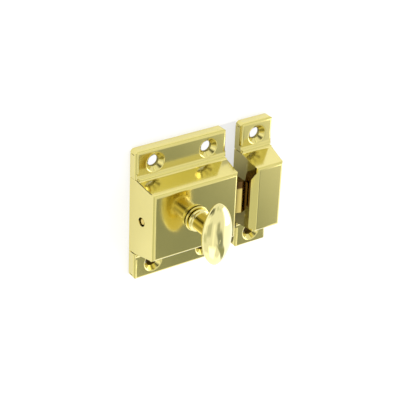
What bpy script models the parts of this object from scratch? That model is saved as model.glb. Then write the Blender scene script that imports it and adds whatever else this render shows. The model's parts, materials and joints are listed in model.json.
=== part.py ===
"""Cupboard turn catch in folded brass: a case, a sprung bolt drawn by a thumb knob, and a keeper.

Metres. X runs from the case to the keeper, Y into the door and Z up. The origin is the middle of the
case's back. Depths are heights above that back, so a depth d lies at y = -d.
"""

from dataclasses import dataclass
from math import atan2, cos, hypot, pi, radians, sin, sqrt, tan

import bmesh
import bpy
from mathutils import Matrix, Vector

# Sheet and folds, common to both shells
SHEET = 0.0010
INNER_BEND = 0.0003
VALLEY_BEND = 0.0023
SEAM = 0.00025
RELIEF_RADIUS = 0.0005
CORNER_RADIUS = 0.0015
SHELL_HEIGHT = 0.0508

# Case
CASE_WIDTH = 0.0370
CASE_FLANGE = 0.0039
CASE_DEPTH = 0.0139
CASE_FOOT = 0.0293
CASE_TOP = 0.0256
CASE_LEAN = 0.0013

# Keeper, to the right of the case
KEEPER_WIDTH = 0.0138
KEEPER_FLANGE = 0.0036
KEEPER_DEPTH = 0.0146
KEEPER_FOOT = 0.0290
KEEPER_TOP = 0.0256
KEEPER_LEAN = 0.0026
LIP_REACH = 0.0022
LIP_ANGLE = radians(45)
LIP_UPPER_TAPER = 0.0042
LIP_LOWER_TAPER = 0.0004
LIP_CORNER = 0.0006

# Countersunk screw holes, dimpled into the sheet
HEAD_RADIUS = 0.0039
HOLE_RADIUS = 0.0021
HOLE_LAND = 0.0009
CASE_SCREW_PITCH = 0.0216
SCREW_ROWS = 0.0398

# Fits between the pieces
GAP = 0.0003
SLIDE_GAP = 0.00035

# Back plate
PLATE = 0.0012

# Bolt, guide rod and spring
BOLT_DEPTH = 0.0070
BOLT_TRAVEL = 0.0047
NOSE_REACH = 0.00665
NOSE_HEIGHT = 0.0126
NOSE_CORNER = 0.0022
NOSE_THICKNESS = 0.0054
NOSE_TIP = 0.0026
SHOULDER_HEIGHT = 0.0030
HEAD_LENGTH = 0.0040
FRAME_THICKNESS = 0.0024
FRAME_BAR = 0.0031
RAIL = 0.0015
ROD_RADIUS = 0.0011
ROD_SOCKET = 0.0022
BOSS_WALL = 0.0011
ROD_HOLE_RADIUS = 0.0017
SEAT = 0.0008
SEAT_RADIUS = 0.0032
WIRE_RADIUS = 0.00025
SPRING_RADIUS = 0.0021
SPRING_TURNS = 4.5

# Knob, spindle and what it carries
KNOB_TURN = radians(50)
SPINDLE_RADIUS = 0.0026
SQUARE = 0.0028
PIVOT_RADIUS = 0.0015
BUSH_FLANGE = 0.0005
BUSH_FLANGE_RADIUS = 0.0047
BUSH_RADIUS = 0.0036
BUSH_TAIL = 0.0010
REAR_BUSH = 0.0016
REAR_BUSH_RADIUS = 0.0029
PIVOT_END = 0.0003
WASHER = 0.0006
WASHER_RADIUS = 0.0044
SPACER_RADIUS = 0.0036
CLIP = 0.0006
CLIP_RADIUS = 0.0030
CAM = 0.0020
CAM_HUB_RADIUS = 0.0030
CAM_ARM_RADIUS = 0.0013
CAM_TAIL = 0.0045
CAM_TAIL_RADIUS = 0.0010
CAM_LEAD = 0.0006
STOP_RADIUS = 0.0008
STOP_RING = 0.0042
BEAD_RADIUS = 0.0043
BEAD = 0.0014
NECK_RADIUS = 0.0034
GRIP_DEPTH = 0.0267
GRIP_WIDTH = 0.0120
GRIP_THICKNESS = 0.0060
GRIP_HEIGHT = 0.0241
GRIP_POINT = 1.15

# Fineness of the facets
ARC_STEPS = 4
RING_STEPS = 28
COIL_STEPS = 14
CUT_MARGIN = 0.002


@dataclass(frozen=True)
class Shell:
    """A folded shell: its two sides at the back, how far each leans in, and its profile."""

    left: float
    right: float
    left_lean: float
    right_lean: float
    flange: float
    depth: float
    foot: float
    top: float

    def side(self, sign, depth):
        """X of the left (-1) or right (+1) wall's outer face at this depth."""
        if sign < 0:
            return self.left + self.left_lean * depth / self.depth
        return self.right - self.right_lean * depth / self.depth

    def slope(self, depth):
        """Half height of the raised box at this depth."""
        share = (depth - self.flange) / (self.depth - self.flange)
        return (self.foot + (self.top - self.foot) * share) / 2


CASE = Shell(
    -CASE_WIDTH / 2, CASE_WIDTH / 2, CASE_LEAN, CASE_LEAN, CASE_FLANGE, CASE_DEPTH, CASE_FOOT, CASE_TOP
)
# The bolt's nose stands proud of the wall here, and the keeper is set so that they all but touch.
WALL_OUT = CASE.side(1, BOLT_DEPTH)
NOSE_END = WALL_OUT + NOSE_REACH
KEEPER_LEFT = NOSE_END + GAP
KEEPER = Shell(
    KEEPER_LEFT,
    KEEPER_LEFT + KEEPER_WIDTH,
    0.0,
    KEEPER_LEAN,
    KEEPER_FLANGE,
    KEEPER_DEPTH,
    KEEPER_FOOT,
    KEEPER_TOP,
)

# Places along the bolt's axis
CAM_ARM = BOLT_TRAVEL / sin(KNOB_TURN)
WALL_IN = CASE.side(1, BOLT_DEPTH + NOSE_THICKNESS / 2) - SHEET
ROD_WALL = CASE.side(-1, BOLT_DEPTH)
SHOULDER = WALL_IN - GAP
HEAD_BACK = SHOULDER - HEAD_LENGTH
WINDOW_RIGHT = HEAD_BACK - FRAME_BAR / 2
WINDOW_LEFT = -CAM_HUB_RADIUS - 3 * GAP
FRAME_LEFT = WINDOW_LEFT - FRAME_BAR
PUSH_FACE = -CAM_ARM_RADIUS - CAM_LEAD
WINDOW_FOOT = -CAM_ARM - CAM_ARM_RADIUS - 2 * GAP
WINDOW_HEAD = CAM_TAIL + CAM_TAIL_RADIUS + 2 * GAP
PUSH_HEIGHT = -CAM_HUB_RADIUS
SEAT_OUTER = CASE.side(-1, BOLT_DEPTH + SEAT_RADIUS) + SHEET + GAP
SEAT_INNER = SEAT_OUTER + SEAT

# Depths of the stack on the spindle
CAM_FRONT = BOLT_DEPTH + CAM / 2
CAM_BACK = BOLT_DEPTH - CAM / 2
BUSH_SEAT = CASE_DEPTH + GAP
BUSH_END = CASE_DEPTH - SHEET - BUSH_TAIL
WASHER_FRONT = BUSH_END - GAP
WASHER_BACK = WASHER_FRONT - WASHER
CLIP_FRONT = CAM_BACK - GAP
PLATE_TOP = PLATE + GAP
BORE = SPINDLE_RADIUS + GAP
PIVOT_BORE = PIVOT_RADIUS + GAP


def clear_scene():
    """Removes every object of the open file."""
    for obj in list(bpy.data.objects):
        bpy.data.objects.remove(obj, do_unlink=True)


def collection(name, hidden=False):
    """A new collection in the scene."""
    made = bpy.data.collections.new(name)
    made.hide_render = hidden
    bpy.context.scene.collection.children.link(made)
    return made


clear_scene()
PARTS = collection("turn_catch")
CUTTERS = collection("cutters", hidden=True)


def metal(name, colour, roughness):
    """A metal's Principled material."""
    material = bpy.data.materials.new(name)
    material.use_nodes = True
    shader = material.node_tree.nodes["Principled BSDF"]
    shader.inputs["Base Color"].default_value = (*colour, 1.0)
    shader.inputs["Metallic"].default_value = 1.0
    shader.inputs["Roughness"].default_value = roughness
    return material


POLISHED_BRASS = metal("polished_brass", (0.80, 0.66, 0.25), 0.12)
KNOB_BRASS = metal("knob_brass", (0.86, 0.74, 0.36), 0.08)
BOLT_BRASS = metal("bolt_brass", (0.78, 0.64, 0.32), 0.25)
PLATE_STEEL = metal("zinc_plate", (0.55, 0.55, 0.53), 0.38)
SPRING_STEEL = metal("spring_steel", (0.42, 0.42, 0.43), 0.30)
PIN_STEEL = metal("pin_steel", (0.50, 0.49, 0.47), 0.34)


def place(obj, material=None):
    """Puts an object among the parts, or with no material among the cutters."""
    if material is None:
        CUTTERS.objects.link(obj)
        obj.hide_render = True
        obj.display_type = "WIRE"
    else:
        PARTS.objects.link(obj)
        obj.data.materials.append(material)
    return obj


def object_of(name, bm, material=None, smooth=True):
    """An object made from a bmesh, its faces turned outwards."""
    bmesh.ops.recalc_face_normals(bm, faces=bm.faces)
    mesh = bpy.data.meshes.new(name)
    bm.to_mesh(mesh)
    bm.free()
    if smooth:
        mesh.shade_smooth()
        mesh.set_sharp_from_angle(angle=radians(35))
    return place(bpy.data.objects.new(name, mesh), material)


def boolean(obj, other, operation="DIFFERENCE"):
    """Cuts, joins or intersects an object with another, which stays live."""
    modifier = obj.modifiers.new(other.name, "BOOLEAN")
    modifier.operation = operation
    modifier.solver = "MANIFOLD"
    modifier.object = other
    return obj


def inset(corners, distance):
    """The corners of an anticlockwise outline moved inwards by a distance."""
    moved = []
    for i, corner in enumerate(corners):
        along = (Vector(corner) - Vector(corners[i - 1])).normalized()
        onward = (Vector(corners[(i + 1) % len(corners)]) - Vector(corner)).normalized()
        first = Vector((-along.y, along.x))
        second = Vector((-onward.y, onward.x))
        moved.append(Vector(corner) + (first + second) * distance / (1 + first.dot(second)))
    return moved


def rounded(corners, radii):
    """Points of a closed outline whose corners have these radii."""
    points = []
    for i, (corner, radius) in enumerate(zip(corners, radii)):
        corner = Vector(corner)
        if radius <= 0:
            points.append(corner)
            continue
        back = (Vector(corners[i - 1]) - corner).normalized()
        onward = (Vector(corners[(i + 1) % len(corners)]) - corner).normalized()
        half = back.angle(onward) / 2
        centre = corner + (back + onward).normalized() * radius / sin(half)
        arm = corner + back * radius / tan(half) - centre
        turn = (pi - 2 * half) * (1 if back.cross(onward) < 0 else -1)
        for step in range(ARC_STEPS + 1):
            points.append(centre + Matrix.Rotation(turn * step / ARC_STEPS, 2) @ arm)
    return points


# How an outline's two axes and its thickness lie in space
ALONG_X = Matrix(((0, 0, 1), (0, -1, 0), (1, 0, 0)))
ALONG_Y = Matrix(((1, 0, 0), (0, 0, -1), (0, 1, 0)))
ALONG_Z = Matrix(((1, 0, 0), (0, -1, 0), (0, 0, 1)))


def prism(name, outline, frame, low, high, material=None):
    """A flat outline given thickness from low to high along the frame's third axis."""
    bm = bmesh.new()
    base = bm.faces.new([bm.verts.new(frame @ Vector((*point, low))) for point in outline])
    lifted = bmesh.ops.extrude_face_region(bm, geom=[base])["geom"]
    top = [item for item in lifted if isinstance(item, bmesh.types.BMVert)]
    bmesh.ops.translate(bm, verts=top, vec=frame @ Vector((0, 0, high - low)))
    return object_of(name, bm, material)


def box_outline(low, high, radius=0.0):
    """A rectangle between two corners, with rounded corners."""
    corners = [low, (high[0], low[1]), high, (low[0], high[1])]
    return rounded(corners, [radius] * 4)


def turned(name, profile, material=None, closed=True):
    """A turned piece on the Y axis: (radius, depth) points, down the outer side first."""
    bm = bmesh.new()
    points = [bm.verts.new((radius, 0, depth)) for radius, depth in profile]
    for first, second in zip(points, points[1:]):
        bm.edges.new((first, second))
    if closed:
        bm.edges.new((points[-1], points[0]))
    mesh = bpy.data.meshes.new(name)
    bm.to_mesh(mesh)
    bm.free()
    obj = place(bpy.data.objects.new(name, mesh), material)
    obj.rotation_euler.x = pi / 2
    screw = obj.modifiers.new("turn", "SCREW")
    screw.steps = screw.render_steps = RING_STEPS
    screw.use_merge_vertices = True
    screw.merge_threshold = 0.00001
    screw.use_smooth_shade = True
    return obj


def ring(name, inner, outer, back, front, material=None):
    """A turned ring between two depths."""
    return turned(name, [(inner, front), (outer, front), (outer, back), (inner, back)], material)


def rod(name, radius, back, front, axis, centre=(0, 0, 0), material=None, tip=None):
    """A round bar, or a cone with a second radius at its front, along X or Y."""
    bm = bmesh.new()
    length = front - back
    bmesh.ops.create_cone(
        bm,
        cap_ends=True,
        segments=RING_STEPS,
        radius1=radius,
        radius2=radius if tip is None else tip,
        depth=length,
    )
    frame = Matrix.Rotation(pi / 2, 3, "Y" if axis == "X" else "X")
    shift = Vector((back + length / 2, 0, 0)) if axis == "X" else Vector((0, -back - length / 2, 0))
    move = Matrix.Translation(Vector(centre) + shift) @ frame.to_4x4()
    bmesh.ops.transform(bm, matrix=move, verts=bm.verts)
    return object_of(name, bm, material)


def shell_form(name, shell, depth_in, material=None):
    """The shell's outer form, or the hollow that lies depth_in inside it."""
    back = -CUT_MARGIN if depth_in else 0.0
    bend = INNER_BEND + SHEET - depth_in
    valley = VALLEY_BEND + depth_in
    half = SHELL_HEIGHT / 2
    profile = [
        (-half, back),
        (half, back),
        (half, shell.flange),
        (shell.foot / 2, shell.flange),
        (shell.top / 2, shell.depth),
        (-shell.top / 2, shell.depth),
        (-shell.foot / 2, shell.flange),
        (-half, shell.flange),
    ]
    radii = [0, 0, bend, valley, bend, bend, valley, bend]
    low, high = shell.left - CUT_MARGIN, shell.right + CUT_MARGIN
    form = prism(name, rounded(inset(profile, depth_in), radii), ALONG_X, low, high, material)

    def plan(label, front, bottom, top):
        corners = [
            (shell.side(-1, back) if front > shell.flange else shell.left, back),
            (shell.side(1, back) if front > shell.flange else shell.right, back),
            (shell.side(1, front) if front > shell.flange else shell.right, front),
            (shell.side(-1, front) if front > shell.flange else shell.left, front),
        ]
        outline = rounded(inset(corners, depth_in), [0, 0, bend, bend])
        return prism(f"{name}_{label}", outline, ALONG_Z, bottom, top)

    seam_height = shell.foot / 2 + VALLEY_BEND
    walls = plan("box_plan", shell.depth, -seam_height, seam_height)
    for sign, label in ((1, "upper"), (-1, "lower")):
        ends = sorted((sign * shell.foot / 2, sign * (half + CUT_MARGIN)))
        boolean(walls, plan(f"{label}_plan", shell.flange, *ends), "UNION")
    boolean(form, walls, "INTERSECT")
    if not depth_in:
        corners = box_outline((shell.left, -half), (shell.right, half), CORNER_RADIUS)
        front = shell.depth + CUT_MARGIN
        boolean(form, prism(f"{name}_corners", corners, ALONG_Y, -CUT_MARGIN, front), "INTERSECT")
    return form


def slab_between(name, start, end, inward, width, reach):
    """A thin blade whose middle line runs from start to end, reaching both ways along inward."""
    start, end, inward = Vector(start), Vector(end), Vector(inward).normalized()
    along = (end - start).normalized()
    across = along.cross(inward).normalized()
    frame = Matrix((along, inward, across)).transposed().to_4x4()
    bm = bmesh.new()
    bmesh.ops.create_cube(bm, size=1.0)
    bmesh.ops.scale(bm, vec=((end - start).length, 2 * reach, width), verts=bm.verts)
    bmesh.ops.transform(bm, matrix=Matrix.Translation((start + end) / 2) @ frame, verts=bm.verts)
    return object_of(name, bm, smooth=False)


def cut_seams(obj, shell):
    """Cuts the fold's open seams: at the box's corners, beside the flanges and at the flanges' mitres."""
    front = shell.depth - 1.3 * (INNER_BEND + SHEET)
    for sx in (-1, 1):
        for sz in (-1, 1):
            tag = f"{obj.name}_{'left' if sx < 0 else 'right'}_{'top' if sz > 0 else 'foot'}"
            foot = Vector((shell.side(sx, shell.flange), -shell.flange, sz * shell.foot / 2))
            head = Vector((shell.side(sx, front), -front, sz * shell.slope(front)))
            blade = slab_between(f"{tag}_seam", foot, head, (-sx, 0, -sz), SEAM, 2 * SHEET)
            boolean(obj, blade)
            back = Vector((shell.side(sx, 0), CUT_MARGIN, foot.z))
            blade = slab_between(f"{tag}_side_cut", back, foot, (-sx, 0, 0), SEAM, 2 * SHEET)
            boolean(obj, blade)
            bm = bmesh.new()
            bmesh.ops.create_uvsphere(bm, u_segments=12, v_segments=8, radius=RELIEF_RADIUS)
            bmesh.ops.translate(bm, verts=bm.verts, vec=foot)
            boolean(obj, object_of(f"{tag}_relief", bm))
            edge = Vector((shell.left if sx < 0 else shell.right, CUT_MARGIN, sz * SHELL_HEIGHT / 2))
            tip = edge - Vector((0, CUT_MARGIN + shell.flange - INNER_BEND - SHEET, 0))
            boolean(obj, slab_between(f"{tag}_mitre", edge, tip, (-sx, 0, -sz), SEAM, 2 * SHEET))


def screw_holes(obj, shell, columns):
    """Dimples the flanges and cuts the countersunk holes at these X places, above and below."""
    cone = HEAD_RADIUS - HOLE_RADIUS
    end = shell.flange - cone - HOLE_LAND
    start = shell.flange - SHEET / 2
    hidden = HEAD_RADIUS + SHEET * (sqrt(2) - 1)
    for i, x in enumerate(columns):
        for sz in (-1, 1):
            at = (x, 0, sz * SCREW_ROWS / 2)
            tag = f"{obj.name}_hole_{i}_{'top' if sz > 0 else 'foot'}"
            lowest = hidden - (start - end) + SHEET / 2
            dimple = rod(f"{tag}_dimple", lowest, end, start, "Y", at, tip=hidden + SHEET / 2)
            boolean(obj, dimple, "UNION")
            boolean(obj, rod(f"{tag}_drill", HOLE_RADIUS, -CUT_MARGIN, shell.flange + CUT_MARGIN, "Y", at))
            sink = rod(
                f"{tag}_sink", HOLE_RADIUS, shell.flange - cone, shell.flange + CUT_MARGIN, "Y", at,
                tip=HEAD_RADIUS + CUT_MARGIN,
            )
            boolean(obj, sink)


def case_shell():
    """The folded case, with its holes, notches and seams."""
    shell = shell_form("case_shell", CASE, 0.0, POLISHED_BRASS)
    boolean(shell, shell_form("case_hollow", CASE, SHEET))
    screw_holes(shell, CASE, (-CASE_SCREW_PITCH / 2, CASE_SCREW_PITCH / 2))
    cut_seams(shell, CASE)
    bolt_at = (0, -BOLT_DEPTH, 0)
    boolean(shell, rod("rod_hole", ROD_HOLE_RADIUS, CASE.left, SEAT_OUTER, "X", bolt_at))
    side = NOSE_THICKNESS / 2 + SLIDE_GAP
    top = NOSE_HEIGHT / 2 + SLIDE_GAP
    slot = box_outline((-top, BOLT_DEPTH - side), (top, BOLT_DEPTH + side), SHEET / 2)
    boolean(shell, prism("nose_slot", slot, ALONG_X, HEAD_BACK, CASE.right + CUT_MARGIN))
    boolean(shell, rod("bush_hole", BUSH_RADIUS + GAP, BUSH_END, CASE_DEPTH + CUT_MARGIN, "Y"))


def keeper_shell():
    """The folded keeper, with the ramp lip on its left edge that the bolt's nose springs in behind."""
    shell = shell_form("keeper_shell", KEEPER, 0.0, POLISHED_BRASS)
    boolean(shell, shell_form("keeper_hollow", KEEPER, SHEET))
    screw_holes(shell, KEEPER, ((KEEPER.left + KEEPER.right) / 2,))
    cut_seams(shell, KEEPER)
    boolean(shell, ramp_lip(), "UNION")


def ramp_lip():
    """The tapered tongue of sheet that goes on from the keeper's front bend, back towards the case."""
    bend = INNER_BEND + SHEET
    half = KEEPER_TOP / 2 - bend / 2
    corners = [
        (-SHEET / 2, -half),
        (LIP_REACH, LIP_LOWER_TAPER - half),
        (LIP_REACH, half - LIP_UPPER_TAPER),
        (-SHEET / 2, half),
    ]
    outline = rounded(corners, [0, LIP_CORNER, LIP_CORNER, 0])
    along = Vector((-cos(LIP_ANGLE), sin(LIP_ANGLE), 0))
    outward = Vector((-sin(LIP_ANGLE), -cos(LIP_ANGLE), 0))
    centre = Vector((KEEPER.side(-1, KEEPER_DEPTH) + bend, -KEEPER_DEPTH + bend, 0))
    frame = Matrix((along, Vector((0, 0, 1)), outward)).transposed()
    lip = prism("ramp_lip", outline, frame, bend - SHEET, bend)
    lip.location = centre
    return lip


def back_plate():
    """The plate that closes the box's back, a close fit between its walls."""
    body = CASE_WIDTH / 2 - SHEET - GAP - CASE_LEAN * PLATE / CASE_DEPTH
    tall = CASE_FOOT / 2 - GAP
    outline = box_outline((-body, -tall), (body, tall), SHEET)
    prism("back_plate", outline, ALONG_Y, 0.0, PLATE, PLATE_STEEL)


def bushes():
    """The collar bush in the front wall, and the bush on the back plate."""
    turned(
        "spindle_bush",
        [
            (BORE, BUSH_SEAT + BUSH_FLANGE),
            (BUSH_FLANGE_RADIUS - BUSH_FLANGE / 2, BUSH_SEAT + BUSH_FLANGE),
            (BUSH_FLANGE_RADIUS, BUSH_SEAT + BUSH_FLANGE / 2),
            (BUSH_FLANGE_RADIUS, BUSH_SEAT),
            (BUSH_RADIUS, BUSH_SEAT),
            (BUSH_RADIUS, BUSH_END),
            (BORE, BUSH_END),
        ],
        POLISHED_BRASS,
    )
    ring("rear_bush", PIVOT_BORE, REAR_BUSH_RADIUS, PLATE_TOP, PLATE_TOP + REAR_BUSH, BOLT_BRASS)


def stop_pins():
    """The two pins on the back plate that the cam's tail meets at rest and at full turn."""
    spread = (CAM_TAIL_RADIUS + STOP_RADIUS + GAP) / STOP_RING
    for name, angle in (("rest_stop_pin", -spread), ("open_stop_pin", KNOB_TURN + spread)):
        at = (STOP_RING * sin(angle), 0, STOP_RING * cos(angle))
        rod(name, STOP_RADIUS, PLATE_TOP, CAM_FRONT, "Y", at, PIN_STEEL)


def spindle_stack(carrier):
    """The washer, spacer, cam and clip that turn with the spindle."""
    ring("thrust_washer", BORE, WASHER_RADIUS, WASHER_BACK, WASHER_FRONT, BOLT_BRASS)
    ring("cam_spacer", BORE, SPACER_RADIUS, CAM_FRONT + GAP, WASHER_BACK - GAP, PIN_STEEL)
    ring("cam_clip", PIVOT_BORE, CLIP_RADIUS, CLIP_FRONT - CLIP, CLIP_FRONT, SPRING_STEEL)
    cam()
    for name in ("thrust_washer", "cam_spacer", "cam_clip", "bolt_cam"):
        bpy.data.objects[name].parent = carrier


def tapered_arm(name, length, radius, hub, sign):
    """A cam's arm: two circles and their common tangents, pointing up or down."""
    lean = atan2(hub - radius, length)
    points = []
    for step in range(2 * ARC_STEPS + 1):
        angle = lean + (pi - 2 * lean) * step / (2 * ARC_STEPS)
        points.append((radius * cos(angle), sign * (length + radius * sin(angle))))
    points += [(-hub * cos(lean), sign * hub * sin(lean)), (hub * cos(lean), sign * hub * sin(lean))]
    return prism(name, points, ALONG_Y, CAM_BACK, CAM_FRONT)


def cam():
    """The cam on the spindle's square: the arm below draws the bolt, the tail above meets the stops."""
    made = rod("bolt_cam", CAM_HUB_RADIUS, CAM_BACK, CAM_FRONT, "Y", material=PIN_STEEL)
    straight = CAM_ARM_RADIUS
    boolean(made, tapered_arm("cam_arm", CAM_ARM, CAM_ARM_RADIUS, straight, -1), "UNION")
    boolean(made, tapered_arm("cam_tail", CAM_TAIL, CAM_TAIL_RADIUS, CAM_TAIL_RADIUS, 1), "UNION")
    half = SQUARE / 2 + GAP
    square = box_outline((-half, -half), (half, half))
    boolean(made, prism("cam_square", square, ALONG_Y, CAM_BACK - CUT_MARGIN, CAM_FRONT + CUT_MARGIN))


def turn_knob(carrier):
    """The thumb knob in one piece with its bead, neck, spindle, square and pivot."""
    bead_back = BUSH_SEAT + BUSH_FLANGE + GAP
    bead_front = bead_back + BEAD
    grip_back = GRIP_DEPTH - GRIP_THICKNESS / 2
    neck_end = GRIP_DEPTH
    waist = (bead_front + grip_back) / 2
    square_front = CAM_FRONT + GAP / 2
    profile = [
        (0.0, neck_end),
        (NECK_RADIUS, neck_end),
        (NECK_RADIUS * 1.06, grip_back),
        (NECK_RADIUS, waist),
        (NECK_RADIUS * 1.08, bead_front + BEAD / 4),
        (BEAD_RADIUS - BEAD / 4, bead_front),
        (BEAD_RADIUS, bead_front - BEAD / 4),
        (BEAD_RADIUS, bead_back + BEAD / 4),
        (BEAD_RADIUS - BEAD / 4, bead_back),
        (SPINDLE_RADIUS, bead_back),
        (SPINDLE_RADIUS, square_front),
        (0.0, square_front),
    ]
    knob = turned("turn_knob", profile, KNOB_BRASS, closed=False)
    boolean(knob, grip(), "UNION")
    half = SQUARE / 2
    square_back = CAM_BACK + GAP / 2
    square = box_outline((-half, -half), (half, half))
    boolean(knob, prism("spindle_square", square, ALONG_Y, square_back, square_front + GAP), "UNION")
    pivot_end = PLATE_TOP + PIVOT_END
    pivot = rod("spindle_pivot", PIVOT_RADIUS, pivot_end, square_back + GAP, "Y")
    boolean(knob, pivot, "UNION")
    knob.parent = carrier


def grip():
    """The oval grip, flattened front to back, its two ends drawn to blunt points."""
    bm = bmesh.new()
    bmesh.ops.create_uvsphere(bm, u_segments=RING_STEPS, v_segments=18, radius=1.0)
    for vert in bm.verts:
        girth = hypot(vert.co.x, vert.co.y)
        drawn = girth ** (GRIP_POINT - 1) if girth > 1e-6 else 0.0
        vert.co.x *= drawn * GRIP_WIDTH / 2
        vert.co.y *= drawn * GRIP_THICKNESS / 2
        vert.co.z *= GRIP_HEIGHT / 2
    bmesh.ops.translate(bm, verts=bm.verts, vec=(0, -GRIP_DEPTH, 0))
    return object_of("grip", bm)


def latch_bolt():
    """The bolt: a flat frame round the cam, a head with a shoulder, and the nose with its ramp."""
    frame_back, frame_front = BOLT_DEPTH - FRAME_THICKNESS / 2, BOLT_DEPTH + FRAME_THICKNESS / 2
    foot, head = WINDOW_FOOT - RAIL, WINDOW_HEAD + RAIL
    outline = box_outline((FRAME_LEFT, foot), (HEAD_BACK + RAIL, head), RAIL / 2)
    bolt = prism("latch_bolt", outline, ALONG_Y, frame_back, frame_front, BOLT_BRASS)
    window = rounded(
        [
            (PUSH_FACE, WINDOW_FOOT),
            (WINDOW_RIGHT, WINDOW_FOOT),
            (WINDOW_RIGHT, WINDOW_HEAD),
            (WINDOW_LEFT, WINDOW_HEAD),
            (WINDOW_LEFT, PUSH_HEIGHT),
            (PUSH_FACE, PUSH_HEIGHT),
        ],
        [GAP, RAIL / 2, RAIL / 2, RAIL / 2, RAIL / 4, GAP],
    )
    boolean(bolt, prism("bolt_window", window, ALONG_Y, frame_back - CUT_MARGIN, frame_front + CUT_MARGIN))
    back, front = BOLT_DEPTH - NOSE_THICKNESS / 2, BOLT_DEPTH + NOSE_THICKNESS / 2
    shoulder = NOSE_HEIGHT / 2 + SHOULDER_HEIGHT / 2
    block = box_outline((HEAD_BACK, back), (SHOULDER, front))
    boolean(bolt, prism("bolt_head", block, ALONG_Z, -shoulder, shoulder), "UNION")
    ramp = NOSE_THICKNESS - NOSE_TIP
    root, tip, half = HEAD_BACK + GAP, NOSE_END, NOSE_HEIGHT / 2
    plan = rounded(
        [(root, back), (tip - ramp, back), (tip, back + ramp), (tip, front), (root, front)],
        [0, GAP, GAP, 2 * GAP, 0],
    )
    nose = prism("bolt_nose", plan, ALONG_Z, -half, half)
    corners = [(root, -half), (tip, -half), (tip, half), (root, half)]
    face = rounded(corners, [0, NOSE_CORNER, NOSE_CORNER, 0])
    boolean(nose, prism("nose_corners", face, ALONG_Y, back - GAP, front + GAP), "INTERSECT")
    boolean(bolt, nose, "UNION")
    at = (0, -BOLT_DEPTH, 0)
    bore = ROD_RADIUS + GAP / 3
    boss_end = FRAME_LEFT + FRAME_BAR - GAP
    boolean(bolt, rod("tail_boss", bore + BOSS_WALL, FRAME_LEFT, boss_end, "X", at), "UNION")
    boolean(bolt, rod("rod_socket", bore, FRAME_LEFT - CUT_MARGIN, FRAME_LEFT + ROD_SOCKET, "X", at))


def guide_rod():
    """The rod pressed into the bolt's tail, its end just inside the hole of the left wall."""
    end = ROD_WALL + GAP
    at = (0, -BOLT_DEPTH, 0)
    rod("guide_rod", ROD_RADIUS, end, FRAME_LEFT + ROD_SOCKET - GAP, "X", at, BOLT_BRASS)


def spring_and_seat():
    """The washer against the left wall and the coil round the rod, up to the bolt."""
    bm = bmesh.new()
    bmesh.ops.create_cone(
        bm, cap_ends=True, segments=RING_STEPS, radius1=SEAT_RADIUS, radius2=SEAT_RADIUS, depth=SEAT
    )
    middle = Vector(((SEAT_OUTER + SEAT_INNER) / 2, -BOLT_DEPTH, 0))
    turn = Matrix.Rotation(pi / 2, 4, "Y")
    bmesh.ops.transform(bm, matrix=Matrix.Translation(middle) @ turn, verts=bm.verts)
    seat = object_of("spring_seat", bm, BOLT_BRASS)
    at = (0, -BOLT_DEPTH, 0)
    boolean(seat, rod("seat_bore", ROD_RADIUS + GAP, CASE.left, 0.0, "X", at))

    start, end = SEAT_INNER + GAP + WIRE_RADIUS, FRAME_LEFT - GAP - WIRE_RADIUS
    count = int(SPRING_TURNS * COIL_STEPS)
    curve = bpy.data.curves.new("bolt_spring", "CURVE")
    curve.dimensions = "3D"
    curve.bevel_depth = WIRE_RADIUS
    curve.bevel_resolution = 2
    curve.use_fill_caps = True
    spline = curve.splines.new("POLY")
    spline.points.add(count)
    for i, point in enumerate(spline.points):
        share = i / count
        angle = 2 * pi * SPRING_TURNS * share
        point.co = (
            start + (end - start) * share,
            -BOLT_DEPTH + SPRING_RADIUS * cos(angle),
            SPRING_RADIUS * sin(angle),
            1,
        )
    place(bpy.data.objects.new("bolt_spring", curve), SPRING_STEEL)


def build():
    """Makes every piece; what turns hangs from an empty on the spindle's axis."""
    carrier = bpy.data.objects.new("spindle_axis", None)
    PARTS.objects.link(carrier)
    case_shell()
    back_plate()
    bushes()
    stop_pins()
    turn_knob(carrier)
    spindle_stack(carrier)
    latch_bolt()
    guide_rod()
    spring_and_seat()
    keeper_shell()


build()
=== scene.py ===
"""Looks for the cupboard turn catch: a folded brass case, its keeper, an oval knob and a sprung bolt.

Metres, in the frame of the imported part: X from the case to the keeper, Y into the door, Z up. Depths are
heights above the case's back, so a depth d lies at y = -d.
"""

import json
import logging
from dataclasses import dataclass
from enum import Enum
from math import cos, pi, radians, sin, tan
from typing import Any, Iterable, Optional, Sequence

import bmesh
import bpy
from mathutils import Matrix, Vector

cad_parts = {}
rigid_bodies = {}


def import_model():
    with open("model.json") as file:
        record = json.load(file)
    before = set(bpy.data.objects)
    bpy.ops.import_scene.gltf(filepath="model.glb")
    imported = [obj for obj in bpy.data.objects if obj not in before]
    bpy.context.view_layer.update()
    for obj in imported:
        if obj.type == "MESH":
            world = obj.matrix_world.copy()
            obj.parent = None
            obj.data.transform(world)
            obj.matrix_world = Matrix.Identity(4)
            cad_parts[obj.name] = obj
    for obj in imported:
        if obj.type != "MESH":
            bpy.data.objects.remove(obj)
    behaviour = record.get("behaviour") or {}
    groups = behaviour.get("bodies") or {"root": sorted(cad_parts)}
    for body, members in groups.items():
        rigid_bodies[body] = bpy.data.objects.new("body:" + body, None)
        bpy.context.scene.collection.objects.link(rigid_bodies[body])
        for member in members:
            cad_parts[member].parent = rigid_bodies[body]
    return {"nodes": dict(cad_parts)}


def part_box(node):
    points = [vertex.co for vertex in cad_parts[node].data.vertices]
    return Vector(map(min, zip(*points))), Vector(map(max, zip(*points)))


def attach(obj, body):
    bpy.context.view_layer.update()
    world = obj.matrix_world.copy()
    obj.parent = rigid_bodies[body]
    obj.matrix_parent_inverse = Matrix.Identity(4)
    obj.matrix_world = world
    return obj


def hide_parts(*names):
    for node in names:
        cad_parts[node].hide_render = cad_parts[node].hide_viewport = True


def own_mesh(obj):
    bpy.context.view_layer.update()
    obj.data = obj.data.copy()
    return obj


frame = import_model()

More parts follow.
